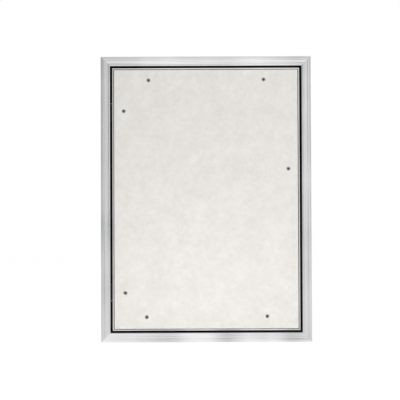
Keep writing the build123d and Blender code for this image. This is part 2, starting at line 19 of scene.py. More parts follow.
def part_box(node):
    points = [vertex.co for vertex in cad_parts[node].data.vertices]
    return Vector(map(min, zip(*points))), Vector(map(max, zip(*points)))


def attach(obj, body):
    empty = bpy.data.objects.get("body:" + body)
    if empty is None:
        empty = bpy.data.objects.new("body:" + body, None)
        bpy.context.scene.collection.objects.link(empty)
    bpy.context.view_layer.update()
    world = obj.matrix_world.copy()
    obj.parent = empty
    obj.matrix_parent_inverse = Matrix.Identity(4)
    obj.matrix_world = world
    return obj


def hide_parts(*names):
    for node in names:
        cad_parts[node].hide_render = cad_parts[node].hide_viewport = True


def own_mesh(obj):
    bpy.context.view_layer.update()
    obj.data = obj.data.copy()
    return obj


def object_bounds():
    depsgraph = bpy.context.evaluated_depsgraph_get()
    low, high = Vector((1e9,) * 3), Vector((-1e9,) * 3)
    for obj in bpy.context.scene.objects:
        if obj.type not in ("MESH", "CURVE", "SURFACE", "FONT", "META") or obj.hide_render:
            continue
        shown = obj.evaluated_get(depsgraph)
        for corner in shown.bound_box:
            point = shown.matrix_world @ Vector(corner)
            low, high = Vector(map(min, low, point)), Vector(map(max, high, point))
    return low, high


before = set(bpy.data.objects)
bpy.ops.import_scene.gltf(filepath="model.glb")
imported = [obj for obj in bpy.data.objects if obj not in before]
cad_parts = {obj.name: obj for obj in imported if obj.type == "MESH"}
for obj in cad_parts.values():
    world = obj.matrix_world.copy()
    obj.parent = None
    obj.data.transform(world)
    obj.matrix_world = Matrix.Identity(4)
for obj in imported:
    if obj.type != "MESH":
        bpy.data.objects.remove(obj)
CAD_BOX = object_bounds()

LOG = logging.getLogger("access_panel")
MM = 0.001
PICTURE_SIDE = 400
WHITE = "#FFFFFF"

# Vertices of a solid closer than this are one vertex.
MERGE_DISTANCE = 0.002 * MM
# Angles in degrees: faces that count as one flat face, edges that are broken, and creases.
FLAT_ANGLE = 0.5
EDGE_ANGLE = 32.0
CREASE_ANGLE = 40.0
SLIGHT_CREASE_ANGLE = 3.0
# A face up to this width counts as part of a curve.
NARROW_FACE = 1.2 * MM
# Values of fine noise over which a surface goes from its smoothest to its roughest.
FINE_LOW, FINE_HIGH = 0.3, 0.7


class Grain(Enum):
    """Direction that an extrusion was drawn in, as the index of its long axis."""

    ALONG_X = 0
    ALONG_Z = 2


class Facing(Enum):
    """Direction that a fastener's head faces, as the Euler turn of +Z to it and as a vector."""

    ROOM = ((math.pi / 2, 0.0, 0.0), (0, -1, 0))
    WALL = ((-math.pi / 2, 0.0, 0.0), (0, 1, 0))
    RIGHT = ((0.0, math.pi / 2, 0.0), (1, 0, 0))
    LEFT = ((0.0, -math.pi / 2, 0.0), (-1, 0, 0))

    @property
    def turn(self) -> tuple[float, float, float]:
        """Euler angles that turn +Z to the direction."""
        return self.value[0]

    @property
    def direction(self) -> Vector:
        """Unit vector out of the head."""
        return Vector(self.value[1])


def to_linear(hex_colour: str) -> tuple[float, float, float, float]:
    """Turn an sRGB hex colour into linear RGBA.

    Args:
        hex_colour: Six hex digits after a hash sign.

    Returns:
        Linear red, green and blue, with an alpha of 1.
    """
    channels = [int(hex_colour[i : i + 2], 16) / 255 for i in (1, 3, 5)]
    linear = [c / 12.92 if c <= 0.04045 else ((c + 0.055) / 1.055) ** 2.4 for c in channels]
    return (linear[0], linear[1], linear[2], 1.0)


def add_node(
    tree: bpy.types.NodeTree,
    kind: str,
    inputs: Mapping[str | int, object] | None = None,
    **settings: object,
) -> bpy.types.Node:
    """Add a node to a tree.

    Args:
        tree: Material, world or geometry tree.
        kind: Blender's identifier of the node.
        inputs: Values or output sockets by the input's name or index.
        **settings: Properties of the node itself.

    Returns:
        The new node.
    """
    made = tree.nodes.new(kind)
    for key, value in settings.items():
        setattr(made, key, value)
    for key, value in (inputs or {}).items():
        if isinstance(value, bpy.types.NodeSocket):
            tree.links.new(value, made.inputs[key])
        else:
            made.inputs[key].default_value = value
    return made


def new_material(name: str) -> tuple[bpy.types.Material, bpy.types.NodeTree]:
    """Start an empty node material.

    Args:
        name: Name of the material.

    Returns:
        The material and its tree, which has no nodes yet.
    """
    material = bpy.data.materials.new(name)
    material.use_nodes = True
    material.node_tree.nodes.clear()
    return material, material.node_tree


def noise_of_size(
    tree: bpy.types.NodeTree, sizes: Sequence[float], detail: float, shift: float = 0.0
) -> bpy.types.NodeSocket:
    """Noise whose features have a real size along each axis.

    Args:
        tree: Material tree.
        sizes: Feature size along X, Y and Z in metres.
        detail: Octaves of finer noise.
        shift: Offset that keeps two patterns apart, in features.

    Returns:
        Socket with values about 0.5.
    """
    place = add_node(tree, "ShaderNodeTexCoord").outputs["Object"]
    scale = [1 / size for size in sizes]
    mapping = add_node(
        tree, "ShaderNodeMapping", {"Vector": place, "Location": [shift] * 3, "Scale": scale}
    )
    noise = add_node(
        tree,
        "ShaderNodeTexNoise",
        {"Vector": mapping.outputs[0], "Scale": 1.0, "Detail": detail, "Roughness": 0.55},
    )
    return noise.outputs["Fac"]


def cloudy_colour(
    tree: bpy.types.NodeTree, size: float, detail: float, half_range: float, shades: tuple[str, str]
) -> bpy.types.NodeSocket:
    """Two shades that pass into each other in soft clouds.

    Args:
        tree: Material tree.
        size: Size of a cloud in metres.
        detail: Octaves of finer noise.
        half_range: How far the noise goes from its middle to reach either shade.
        shades: The darker and the lighter shade, as sRGB hex colours.

    Returns:
        Socket with the colour.
    """
    clouds = noise_of_size(tree, [size] * 3, detail)
    share = add_node(
        tree, "ShaderNodeMapRange", {0: clouds, 1: 0.5 - half_range, 2: 0.5 + half_range}
    )
    dark, light = (to_linear(shade) for shade in shades)
    mixed = add_node(
        tree, "ShaderNodeMix", {0: share.outputs[0], 6: dark, 7: light}, data_type="RGBA"
    )
    return mixed.outputs[2]


def close_material(tree: bpy.types.NodeTree, inputs: Mapping[str, object]) -> None:
    """Add the surface shader with its inputs and the output."""
    shader = add_node(tree, "ShaderNodeBsdfPrincipled", inputs)
    add_node(tree, "ShaderNodeOutputMaterial", {"Surface": shader.outputs["BSDF"]})


@dataclass(frozen=True)
class MillAluminium:
    """Extruded aluminium as it leaves the die, neither polished nor anodised.

    The die leaves long lines, so highlights break into streaks along the bar, and the oxide
    skin gives it a soft, slightly uneven grey. On the walls of the pocket that holds the board,
    shade is painted into the colour as a dark tone.
    """

    name: str
    grain: Grain
    dark: str = "#C5C6C6"
    light: str = "#E3E4E3"
    streak_width: float = 2.4 * MM
    streak_length: float = 260 * MM
    line_width: float = 0.7 * MM  # real die lines are finer, and this is as fine as shows
    line_length: float = 60 * MM
    line_depth: float = 0.03 * MM
    line_strength: float = 0.35
    tarnish_width: float = 900 * MM
    tarnish_length: float = 85 * MM
    tarnish_share: float = 1.2  # weight of the tarnish against that of the streaks
    tarnish_shift: float = 5.2  # place in the pattern, in features
    tone_range: float = 0.7
    wear_range: tuple[float, float] = (0.7, 1.3)
    roughness: tuple[float, float] = (0.22, 0.38)
    pocket: tuple[float, float] | None = None  # half of its width, and its depth
    # Painted shade on the pocket's walls, which sets in between the two depths below
    pocket_shade: str = "#3A3935"
    pocket_shade_start: float = 0.3 * MM  # depth behind the front, as is the next value
    pocket_shade_full: float = 1.0 * MM

    def sizes(self, width: float, length: float) -> list[float]:
        """Turn a feature so that it lies along the grain.

        Args:
            width: Size across the grain.
            length: Size along the grain.

        Returns:
            Sizes along X, Y and Z.
        """
        result = [width, width, width]
        result[self.grain.value] = length
        return result

    def in_pocket(self, tree: bpy.types.NodeTree) -> bpy.types.NodeSocket:
        """Find the walls of the pocket that holds the board, which get painted shade.

        Args:
            tree: Material tree.

        Returns:
            Socket that is 1 on those walls, from just behind the front, and 0 elsewhere.
        """
        half_width, depth = self.pocket
        place = add_node(tree, "ShaderNodeTexCoord").outputs["Object"]
        parts = add_node(tree, "ShaderNodeSeparateXYZ", {0: place}).outputs
        across = add_node(tree, "ShaderNodeMath", {0: parts["X"]}, operation="ABSOLUTE").outputs[0]
        within = add_node(tree, "ShaderNodeMath", {0: across, 1: half_width}, operation="LESS_THAN")
        before = add_node(tree, "ShaderNodeMath", {0: parts["Y"], 1: depth}, operation="LESS_THAN")
        behind = add_node(
            tree, "ShaderNodeMapRange", {0: parts["Y"], 1: self.pocket_shade_start, 2: self.pocket_shade_full}
        )
        share = within.outputs[0]
        for limit in (before, behind):
            both = {0: share, 1: limit.outputs[0]}
            share = add_node(tree, "ShaderNodeMath", both, operation="MULTIPLY").outputs[0]
        return share

    def build(self) -> bpy.types.Material:
        """Make the material.

        Returns:
            The finished material.
        """
        material, tree = new_material(self.name)
        streaks = noise_of_size(tree, self.sizes(self.streak_width, self.streak_length), 1.5)
        lines = noise_of_size(tree, self.sizes(self.line_width, self.line_length), 1.0, 0.3)
        tarnish_sizes = self.sizes(self.tarnish_width, self.tarnish_length)
        tarnish = noise_of_size(tree, tarnish_sizes, 1.0, self.tarnish_shift)
        tone = add_node(
            tree,
            "ShaderNodeMath",
            {0: tarnish, 1: self.tarnish_share, 2: streaks},
            operation="MULTIPLY_ADD",
        )
        middle = (self.tarnish_share + 1) / 2
        half = self.tone_range / 2
        share = add_node(
            tree, "ShaderNodeMapRange", {0: tone.outputs[0], 1: middle - half, 2: middle + half}
        )
        shades = {0: share.outputs[0], 6: to_linear(self.dark), 7: to_linear(self.light)}
        colour = add_node(tree, "ShaderNodeMix", shades, data_type="RGBA").outputs[2]
        # Painted shade darkens the walls of the board's pocket behind the front.
        if self.pocket is not None:
            pocket_shade = {0: self.in_pocket(tree), 6: colour, 7: to_linear(self.pocket_shade)}
            colour = add_node(tree, "ShaderNodeMix", pocket_shade, data_type="RGBA").outputs[2]
        wear = add_node(tree, "ShaderNodeMath", {0: lines, 1: tarnish}, operation="ADD").outputs[0]
        start, end = self.wear_range
        smooth, rough = self.roughness
        worn = add_node(
            tree, "ShaderNodeMapRange", {0: wear, 1: start, 2: end, 3: smooth, 4: rough}
        )
        lined = {"Height": lines, "Distance": self.line_depth, "Strength": self.line_strength}
        close_material(
            tree,
            {
                "Base Color": colour,
                "Metallic": 1.0,
                "Roughness": worn.outputs[0],
                "Normal": add_node(tree, "ShaderNodeBump", lined).outputs[0],
            },
        )
        return material


@dataclass(frozen=True)
class CementBoard:
    """Fibre-reinforced cement board, pressed and lightly sanded.

    It is chalky and matt, a warm off-white with cloudy mottling, fine pits and small specks.
    """

    name: str = "cement_board"
    shade: str = "#DCD9D3"
    pale: str = "#EEECE9"
    cloud: float = 38 * MM
    patch: float = 9 * MM
    patch_depth: float = 0.25 * MM
    patch_strength: float = 0.25
    tone_range: tuple[float, float] = (0.6, 1.4)
    sand: float = 1.8 * MM  # real grit is finer, and this is as fine as shows
    sand_range: tuple[float, float] = (0.35, 0.65)
    sand_share: float = 0.55
    pit_depth: float = 0.12 * MM
    pit_strength: float = 0.4
    speck_spacing: float = 9 * MM
    speck_core: float = 0.054  # in shares of the spacing, as is the next value
    speck_edge: float = 0.09
    speck_share: float = 0.35
    roughness: tuple[float, float] = (0.86, 0.97)
    shine: float = 0.25

    def build(self) -> bpy.types.Material:
        """Make the material.

        Returns:
            The finished material.
        """
        material, tree = new_material(self.name)
        clouds = noise_of_size(tree, [self.cloud] * 3, 3.0)
        patches = noise_of_size(tree, [self.patch] * 3, 4.0, 0.4)
        sand = noise_of_size(tree, [self.sand] * 3, 2.0, 0.9)
        tone = add_node(tree, "ShaderNodeMath", {0: clouds, 1: patches}, operation="ADD").outputs[0]
        low, high = self.tone_range
        light = add_node(tree, "ShaderNodeMapRange", {0: tone, 1: low, 2: high}).outputs[0]
        start, end = self.sand_range
        grit = add_node(
            tree, "ShaderNodeMapRange", {0: sand, 1: start, 2: end, 4: self.sand_share}
        ).outputs[0]
        place = add_node(tree, "ShaderNodeTexCoord").outputs["Object"]
        cells = add_node(
            tree,
            "ShaderNodeTexVoronoi",
            {"Vector": place, "Scale": 1 / self.speck_spacing, "Randomness": 1.0},
        ).outputs["Distance"]
        near = {0: cells, 1: self.speck_core, 2: self.speck_edge, 3: self.speck_share, 4: 0.0}
        speck = add_node(tree, "ShaderNodeMapRange", near).outputs[0]
        shade = to_linear(self.shade)
        clouded = {0: light, 6: shade, 7: to_linear(self.pale)}
        colour = add_node(tree, "ShaderNodeMix", clouded, data_type="RGBA").outputs[2]
        for share in (grit, speck):
            inputs = {0: share, 6: colour, 7: shade}
            colour = add_node(tree, "ShaderNodeMix", inputs, data_type="RGBA").outputs[2]
        pitted = {"Height": sand, "Distance": self.pit_depth, "Strength": self.pit_strength}
        pits = add_node(tree, "ShaderNodeBump", pitted).outputs[0]
        uneven = {
            "Height": patches,
            "Distance": self.patch_depth,
            "Strength": self.patch_strength,
            "Normal": pits,
        }
        smooth, rough = self.roughness
        chalk = add_node(
            tree, "ShaderNodeMapRange", {0: patches, 1: FINE_LOW, 2: FINE_HIGH, 3: smooth, 4: rough}
        )
        close_material(
            tree,
            {
                "Base Color": colour,
                "Roughness": chalk.outputs[0],
                "Specular IOR Level": self.shine,
                "Normal": add_node(tree, "ShaderNodeBump", uneven).outputs[0],
            },
        )
        return material


@dataclass(frozen=True)
class PlainMetal:
    """Metal with a cloudy surface, such as zinc plate, drawn wire or sawn aluminium.

    Zinc plating is a cool grey with faint clouds, spring wire is darker and smoother, nickel
    plating is warmer and shinier, and sawn aluminium is pale and rough.
    """

    name: str
    shades: tuple[str, str]
    cloud: float
    roughness: tuple[float, float]
    cloud_range: float = 0.17
    texture_share: float = 1 / 8  # size of the fine texture, in clouds
    depth: float = 0.01 * MM
    strength: float = 0.4

    def colour(self, tree: bpy.types.NodeTree) -> bpy.types.NodeSocket:
        """Colour of the bare plate."""
        return cloudy_colour(tree, self.cloud, 4.0, self.cloud_range, self.shades)

    def texture(self, tree: bpy.types.NodeTree) -> tuple[bpy.types.NodeSocket, bpy.types.NodeSocket]:
        """Make the fine unevenness of the surface.

        Args:
            tree: Material tree.

        Returns:
            Sockets with its height and with the bumped normal.
        """
        fine = noise_of_size(tree, [self.cloud * self.texture_share] * 3, 2.0, 0.5)
        uneven = {"Height": fine, "Distance": self.depth, "Strength": self.strength}
        return fine, add_node(tree, "ShaderNodeBump", uneven).outputs[0]

    def build(self) -> bpy.types.Material:
        """Make the material.

        Returns:
            The finished material.
        """
        material, tree = new_material(self.name)
        fine, normal = self.texture(tree)
        smooth, rough = self.roughness
        sheen = add_node(
            tree, "ShaderNodeMapRange", {0: fine, 1: FINE_LOW, 2: FINE_HIGH, 3: smooth, 4: rough}
        )
        close_material(
            tree,
            {
                "Base Color": self.colour(tree),
                "Metallic": 1.0,
                "Roughness": sheen.outputs[0],
                "Normal": normal,
            },
        )
        return material


@dataclass(frozen=True)
class RecessedZinc(PlainMetal):
    """Zinc-plated screw whose driver recess is darkened with painted shade.

    The face is a cool grey with faint clouds; painted shade makes the recess behind it nearly black.
    """

    shades: tuple[str, str] = ("#979796", "#B4B4B3")
    cloud: float = 3 * MM
    roughness: tuple[float, float] = (0.28, 0.5)
    face: float = 0.0  # place of the heads' faces along Y
    inwards: float = 1.0  # 1 where the heads face the room, and -1 where they face the wall
    # Painted shade in the recess, which sets in between the two depths below
    recess_shade: str = "#262625"
    recess_shade_start: float = 0.15 * MM
    recess_shade_full: float = 0.7 * MM
    recess: float = 2.5 * MM

    def recess_mask(self, tree: bpy.types.NodeTree) -> bpy.types.NodeSocket:
        """Find the walls of the recess, where shade is painted, by their depth behind the head's
        face.

        Args:
            tree: Material tree.

        Returns:
            Socket that is 1 in the recess and 0 on the face and on the thread.
        """
        place = add_node(tree, "ShaderNodeTexCoord").outputs["Object"]
        along = add_node(tree, "ShaderNodeSeparateXYZ", {0: place}).outputs["Y"]
        depth = add_node(
            tree,
            "ShaderNodeMath",
            {0: along, 1: self.inwards, 2: -self.inwards * self.face},
            operation="MULTIPLY_ADD",
        ).outputs[0]
        begun = add_node(tree, "ShaderNodeMapRange", {0: depth, 1: self.recess_shade_start, 2: self.recess_shade_full})
        past = {0: depth, 1: self.recess, 2: self.recess + self.recess_shade_full, 3: 1.0, 4: 0.0}
        ended = add_node(tree, "ShaderNodeMapRange", past)
        both = {0: begun.outputs[0], 1: ended.outputs[0]}
        return add_node(tree, "ShaderNodeMath", both, operation="MULTIPLY").outputs[0]

    def build(self) -> bpy.types.Material:
        """Make the material.

        Returns:
            The finished material.
        """
        material, tree = new_material(self.name)
        recess_mask = self.recess_mask(tree)
        # Painted shade darkens the recess nearly to black.
        painted_recess = {0: recess_mask, 6: self.colour(tree), 7: to_linear(self.recess_shade)}
        smooth, rough = self.roughness
        sheen = add_node(tree, "ShaderNodeMapRange", {0: recess_mask, 3: smooth, 4: rough})
        close_material(
            tree,
            {
                "Base Color": add_node(tree, "ShaderNodeMix", painted_recess, data_type="RGBA").outputs[2],
                "Metallic": 1.0,
                "Roughness": sheen.outputs[0],
                "Normal": self.texture(tree)[1],
            },
        )
        return material


@dataclass(frozen=True)
class MouldedPlastic:
    """Injection-moulded plastic or extruded rubber with a fine, even texture.

    Spark-eroded tools leave a fine grain on plastic and the die a dull skin on rubber, so the
    highlight is broad and soft.
    """

    name: str
    shades: tuple[str, str]
    grain: float  # the real one is finer, and this is as fine as shows
    roughness: tuple[float, float]
    cloud_size: float = 12  # in grains
    cloud_range: float = 0.15
    depth: float = 0.02 * MM
    strength: float = 0.5

    def build(self) -> bpy.types.Material:
        """Make the material.

        Returns:
            The finished material.
        """
        material, tree = new_material(self.name)
        fine = noise_of_size(tree, [self.grain] * 3, 1.0, 0.5)
        smooth, rough = self.roughness
        sheen = add_node(
            tree, "ShaderNodeMapRange", {0: fine, 1: FINE_LOW, 2: FINE_HIGH, 3: smooth, 4: rough}
        )
        grained = {"Height": fine, "Distance": self.depth, "Strength": self.strength}
        cloud = self.grain * self.cloud_size
        close_material(
            tree,
            {
                "Base Color": cloudy_colour(tree, cloud, 3.0, self.cloud_range, self.shades),
                "Roughness": sheen.outputs[0],
                "Normal": add_node(tree, "ShaderNodeBump", grained).outputs[0],
            },
        )
        return material


class Finishes:
    """Every material of the panel, built once."""

    # The pocket's walls reach this far past the board's edge and past its back.
    POCKET_SIDE = 1.4 * MM
    POCKET_BACK = 0.1 * MM

    def __init__(self) -> None:
        """Build the materials."""
        # The rails' lighter shades are painted light, which makes them brighter than the stiles.
        self.along_x = MillAluminium(
            "mill_aluminium_across",
            Grain.ALONG_X,
            "#C6C7C7",
            "#F8F9F8",
            tarnish_share=1.8,
            tarnish_shift=2.3,
        ).build()
        self.along_z = MillAluminium("mill_aluminium_upright", Grain.ALONG_Z).build()
        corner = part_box("infill_board")[1]
        pocket = (corner.x + self.POCKET_SIDE, corner.y + self.POCKET_BACK)
        # The leaf's stiles get painted shade on the walls of the board's pocket.
        self.beside_board = MillAluminium(
            "mill_aluminium_beside_board", Grain.ALONG_Z, pocket=pocket
        ).build()
        self.board = CementBoard().build()
        self.face_screw = RecessedZinc("zinc_plated_face_screw").build()
        self.arm_screw = self.rear_screw("zinc_plated_arm_screw", "hinge_arm_screws_upper")
        self.strike_screw = self.rear_screw("zinc_plated_strike_screw", "strike_plate_screws")
        self.zinc = PlainMetal(
            "zinc_plated_steel", ("#AEB2B6", "#CDD0D2"), 9 * MM, (0.3, 0.44)
        ).build()
        self.wire = PlainMetal(
            "drawn_spring_wire", ("#8A8C8F", "#A9ABAD"), 2 * MM, (0.22, 0.34)
        ).build()
        self.sawn = PlainMetal("sawn_aluminium", ("#B9BABA", "#D2D3D3"), 6 * MM, (0.42, 0.6)).build()
        self.nickel = PlainMetal("nickel_plate", ("#B8B4AB", "#CFCBC3"), 4 * MM, (0.16, 0.26)).build()
        self.rubber = MouldedPlastic(
            "epdm_rubber", ("#141414", "#1F1F1E"), 0.6 * MM, (0.62, 0.8)
        ).build()
        self.black = MouldedPlastic(
            "black_nylon", ("#1B1B1C", "#272728"), 0.5 * MM, (0.45, 0.6)
        ).build()
        self.grey = MouldedPlastic(
            "grey_acetal", ("#B7B8B6", "#C8C9C6"), 0.5 * MM, (0.38, 0.5)
        ).build()
        self.white = MouldedPlastic(
            "natural_nylon", ("#DEDACF", "#EBE8E0"), 0.5 * MM, (0.4, 0.55)
        ).build()

    @staticmethod
    def rear_screw(name: str, node: str) -> bpy.types.Material:
        """Finish for screws whose heads face the wall, at the back of their node's box."""
        return RecessedZinc(name, face=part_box(node)[1].y, inwards=-1.0).build()


def place_piece(piece: bpy.types.Object, body: str, node: str) -> None:
    """Tie a finished piece to its body and the solid it stands for.

    Args:
        piece: Finished piece, at the origin.
        body: Body that it rides on.
        node: Node that it replaces.
    """
    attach(piece, body)
    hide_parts(node)
    LOG.info("%s rides on %s and stands for %s", piece.name, body, node)


def new_object(name: str, data: bpy.types.ID) -> bpy.types.Object:
    """Link an object at the origin.

    Args:
        name: Name of the object.
        data: Mesh, lamp or camera that it holds.

    Returns:
        The new object.
    """
    made = bpy.data.objects.new(name, data)
    bpy.context.scene.collection.objects.link(made)
    return made


def smooth_shading(mesh: bpy.types.Mesh) -> None:
    """Shade a mesh smooth, with its creases sharp."""
    mesh.shade_smooth()
    mesh.set_sharp_from_angle(angle=math.radians(CREASE_ANGLE))


def apply_modifiers(piece: bpy.types.Object) -> None:
    """Turn a piece's modifiers into plain mesh.

    Args:
        piece: Object with live modifiers, which are removed.
    """
    graph = bpy.context.evaluated_depsgraph_get()
    mesh = bpy.data.meshes.new_from_object(piece.evaluated_get(graph), depsgraph=graph)
    piece.modifiers.clear()
    piece.data = mesh


def mark_creases(mesh: bpy.types.Mesh) -> None:
    """Mark the edges where shading must break.

    An edge between two wide faces breaks at a slight angle, and one in a curve only at a steep
    angle.

    Args:
        mesh: Mesh with smooth faces.
    """
    shape = bmesh.new()
    shape.from_mesh(mesh)
    for edge in shape.edges:
        if len(edge.link_faces) != 2:
            continue
        angle = math.degrees(edge.calc_face_angle(0.0))
        wide = all(
            face.calc_area() > NARROW_FACE * max(side.calc_length() for side in face.edges)
            for face in edge.link_faces
        )
        edge.smooth = not (angle > CREASE_ANGLE or (wide and angle > SLIGHT_CREASE_ANGLE))
    shape.to_mesh(mesh)
    shape.free()


def softened_copy(
    node: str,
    material: bpy.types.Material,
    edge: float,
    reshape: Callable[[bpy.types.Mesh], None] | None = None,
) -> bpy.types.Object:
    """Copy a solid's mesh and break its sharp edges.

    Args:
        node: Name of the solid.
        material: Finish of the whole piece.
        edge: Width of the broken edge in metres, or 0 for none.
        reshape: Changes the copied mesh before its edges are broken.

    Returns:
        The new piece.
    """
    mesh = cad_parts[node].data.copy()
    if reshape is not None:
        reshape(mesh)
    shape = bmesh.new()
    shape.from_mesh(mesh)
    bmesh.ops.remove_doubles(shape, verts=shape.verts, dist=MERGE_DISTANCE)
    flat = math.radians(FLAT_ANGLE)
    bmesh.ops.dissolve_limit(shape, angle_limit=flat, verts=shape.verts, edges=shape.edges)
    shape.to_mesh(mesh)
    shape.free()
    mesh.materials.clear()
    mesh.materials.append(material)
    piece = new_object(f"{node}_finished", mesh)
    if edge > 0:
        bevel = piece.modifiers.new("broken_edges", "BEVEL")
        bevel.width = edge
        bevel.segments = 2
        bevel.limit_method = "ANGLE"
        bevel.angle_limit = math.radians(EDGE_ANGLE)
        apply_modifiers(piece)
    piece.data.shade_smooth()
    mark_creases(piece.data)
    normals = piece.modifiers.new("flat_faces", "WEIGHTED_NORMAL")
    normals.mode = "FACE_AREA"
    normals.weight = 100
    normals.keep_sharp = True
    apply_modifiers(piece)
    return piece


def islands(node: str) -> list[tuple[Vector, Vector]]:
    """Find the solids in a node.

    Args:
        node: Name of the node.

    Returns:
        Lowest and highest corner of each solid, from the lowest solid up.
    """
    shape = bmesh.new()
    shape.from_mesh(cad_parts[node].data)
    bmesh.ops.remove_doubles(shape, verts=shape.verts, dist=MERGE_DISTANCE)
    unseen = set(shape.verts)
    boxes = []
    while unseen:
        reached = [unseen.pop()]
        points = []
        while reached:
            vertex = reached.pop()
            points.append(vertex.co.copy())
            for edge in vertex.link_edges:
                other = edge.other_vert(vertex)
                if other in unseen:
                    unseen.remove(other)
                    reached.append(other)
        low = Vector(min(p[axis] for p in points) for axis in range(3))
        high = Vector(max(p[axis] for p in points) for axis in range(3))
        boxes.append((low, high))
    shape.free()
    return sorted(boxes, key=lambda box: (box[0].z, box[0].x))


def tube_mesh(
    name: str,
    rings: int,
    sides: int,
    point: Callable[[int, int], Vector],
    looped: bool = False,
) -> bpy.types.Mesh:
    """Closed surface of rings, each with the same number of points.

    Args:
        name: Name of the mesh.
        rings: Number of rings.
        sides: Points in a ring.
        point: Gives a point for a ring and a side.
        looped: Whether the last ring joins the first, instead of a cap on both.

    Returns:
        The mesh, with its faces outwards.
    """
    shape = bmesh.new()
    grid = [[shape.verts.new(point(ring, side)) for side in range(sides)] for ring in range(rings)]
    following = grid[1:] + grid[:1] if looped else grid[1:]
    for lower, upper in zip(grid, following):
        for side in range(sides):
            after = (side + 1) % sides
            shape.faces.new((lower[side], lower[after], upper[after], upper[side]))
    if not looped:
        shape.faces.new(grid[0])
        shape.faces.new(grid[-1])
    bmesh.ops.recalc_face_normals(shape, faces=shape.faces)
    mesh = bpy.data.meshes.new(name)
    shape.to_mesh(mesh)
    shape.free()
    return mesh


def around(radius: float, turn: float) -> tuple[float, float]:
    """The two coordinates of a point on a circle, at a share of a turn."""
    return radius * math.cos(turn * math.tau), radius * math.sin(turn * math.tau)


def thread_height(turn: float) -> float:
    """Share of a thread's depth at a number of turns, with a pointed ridge over half a turn."""
    place = turn % 1.0
    return max(0.0, 1 - abs(place - 0.5) * 4)


@dataclass(frozen=True)
class ThreadedScrew:
    """Countersunk screw with a cross recess and a real thread, its head towards +Z at z = 0."""

    head_radius: float
    shank_radius: float
    length: float
    pitch: float
    thread_depth: float
    rim: float = 0.25 * MM
    tip_length: float = 2.2  # in shank radii
    blunt_radius: float = 0.02 * MM
    sides: int = 20
    rows_per_turn: int = 6
    recess_reach: float = 0.68  # in head radii, as are the next two
    recess_half: float = 0.2
    recess_depth: float = 0.6
    recess_floor: float = 0.5  # scale of the plus at its floor
    cutter_rise: float = 0.2 * MM
    cutter_mouth: float = 1.04  # scale of the plus where the cutter stands above the face

    def radius(self, depth: float, turn: float) -> float:
        """Work out the outline.

        Args:
            depth: Distance below the head's face.
            turn: Share of a turn round the axis.

        Returns:
            The radius there.
        """
        cone = self.head_radius - self.shank_radius
        tip = self.length - self.tip_length * self.shank_radius
        if depth <= self.rim:
            return self.head_radius
        if depth < self.rim + cone:
            return self.head_radius - (depth - self.rim)
        core = self.shank_radius - self.thread_depth
        ridge = self.thread_depth * thread_height(depth / self.pitch + turn)
        if depth > tip:
            taper = (self.length - depth) / (self.length - tip)
            return max((core + ridge) * taper, self.blunt_radius)
        return core + ridge

    def shaft(self) -> bpy.types.Mesh:
        """Make head, thread and point, without the recess.

        Returns:
            The closed mesh.
        """
        cone_end = self.rim + self.head_radius - self.shank_radius
        step = self.pitch / self.rows_per_turn
        rows = [0.0, self.rim, (self.rim + cone_end) / 2, cone_end]
        rows += [cone_end + step * row for row in range(1, int((self.length - cone_end) / step))]
        rows.append(self.length)

        def point(ring: int, side: int) -> Vector:
            """Point of a row, at a side of it."""
            turn = side / self.sides
            return Vector((*around(self.radius(rows[ring], turn), turn), -rows[ring]))

        return tube_mesh("screw", len(rows), self.sides, point)

    def recess(self) -> bpy.types.Mesh:
        """Make the plus-shaped cutter, which narrows downwards.

        Returns:
            The closed mesh.
        """
        reach = self.head_radius * self.recess_reach
        half = self.head_radius * self.recess_half
        corners = []
        for quarter in range(4):
            turn = Matrix.Rotation(quarter * math.pi / 2, 3, "Z")
            arm = ((reach, -half, 0), (reach, half, 0), (half, half, 0))
            corners += [turn @ Vector(corner) for corner in arm]
        levels = [
            (self.cutter_rise, self.cutter_mouth),
            (-self.head_radius * self.recess_depth, self.recess_floor),
        ]

        def point(ring: int, side: int) -> Vector:
            """Corner of the plus, at the mouth or at the floor."""
            height, scale = levels[ring]
            return corners[side] * scale + Vector((0, 0, height))

        return tube_mesh("recess", len(levels), len(corners), point)

    def build(self, name: str) -> bpy.types.Object:
        """Make the screw as a loose object.

        Args:
            name: Name of the object.

        Returns:
            The screw.
        """
        screw = new_object(name, self.shaft())
        cutter = new_object(f"{name}_recess", self.recess())
        cut = screw.modifiers.new("recess", "BOOLEAN")
        cut.operation = "DIFFERENCE"
        cut.solver = "EXACT"
        cut.object = cutter
        apply_modifiers(screw)
        bpy.data.objects.remove(cutter)
        smooth_shading(screw.data)
        return screw


@dataclass(frozen=True)
class DomedRivet:
    """Blind rivet with a domed, dimpled head above z = 0."""

    grip: float
    radius: float = 1.6 * MM
    head_radius: float = 2.4 * MM
    head_height: float = 1.0 * MM
    centre_radius: float = 0.05 * MM
    dimple_height: float = 0.72  # in head heights
    dimple_floor: float = 0.4  # in rivet radii, as is the next value
    dimple_rim: float = 0.5
    dome_steps: int = 6
    sides: int = 24

    def build(self, name: str) -> bpy.types.Object:
        """Make the rivet as a loose object.

        Args:
            name: Name of the object.

        Returns:
            The rivet.
        """
        low = self.head_height * self.dimple_height
        crest = self.radius * self.dimple_rim
        profile = [(self.centre_radius, low), (self.radius * self.dimple_floor, low)]
        profile.append((crest, self.head_height))
        for step in range(1, self.dome_steps + 1):
            angle = step / self.dome_steps * math.pi / 2
            reach = crest + (self.head_radius - crest) * math.sin(angle)
            profile.append((reach, self.head_height * math.cos(angle)))
        profile += [(self.radius, 0.0), (self.radius, -self.grip)]

        def point(ring: int, side: int) -> Vector:
            """Point of the turned profile."""
            radius, height = profile[ring]
            return Vector((*around(radius, side / self.sides), height))

        rivet = new_object(name, tube_mesh(name, len(profile), self.sides, point))
        smooth_shading(rivet.data)
        return rivet


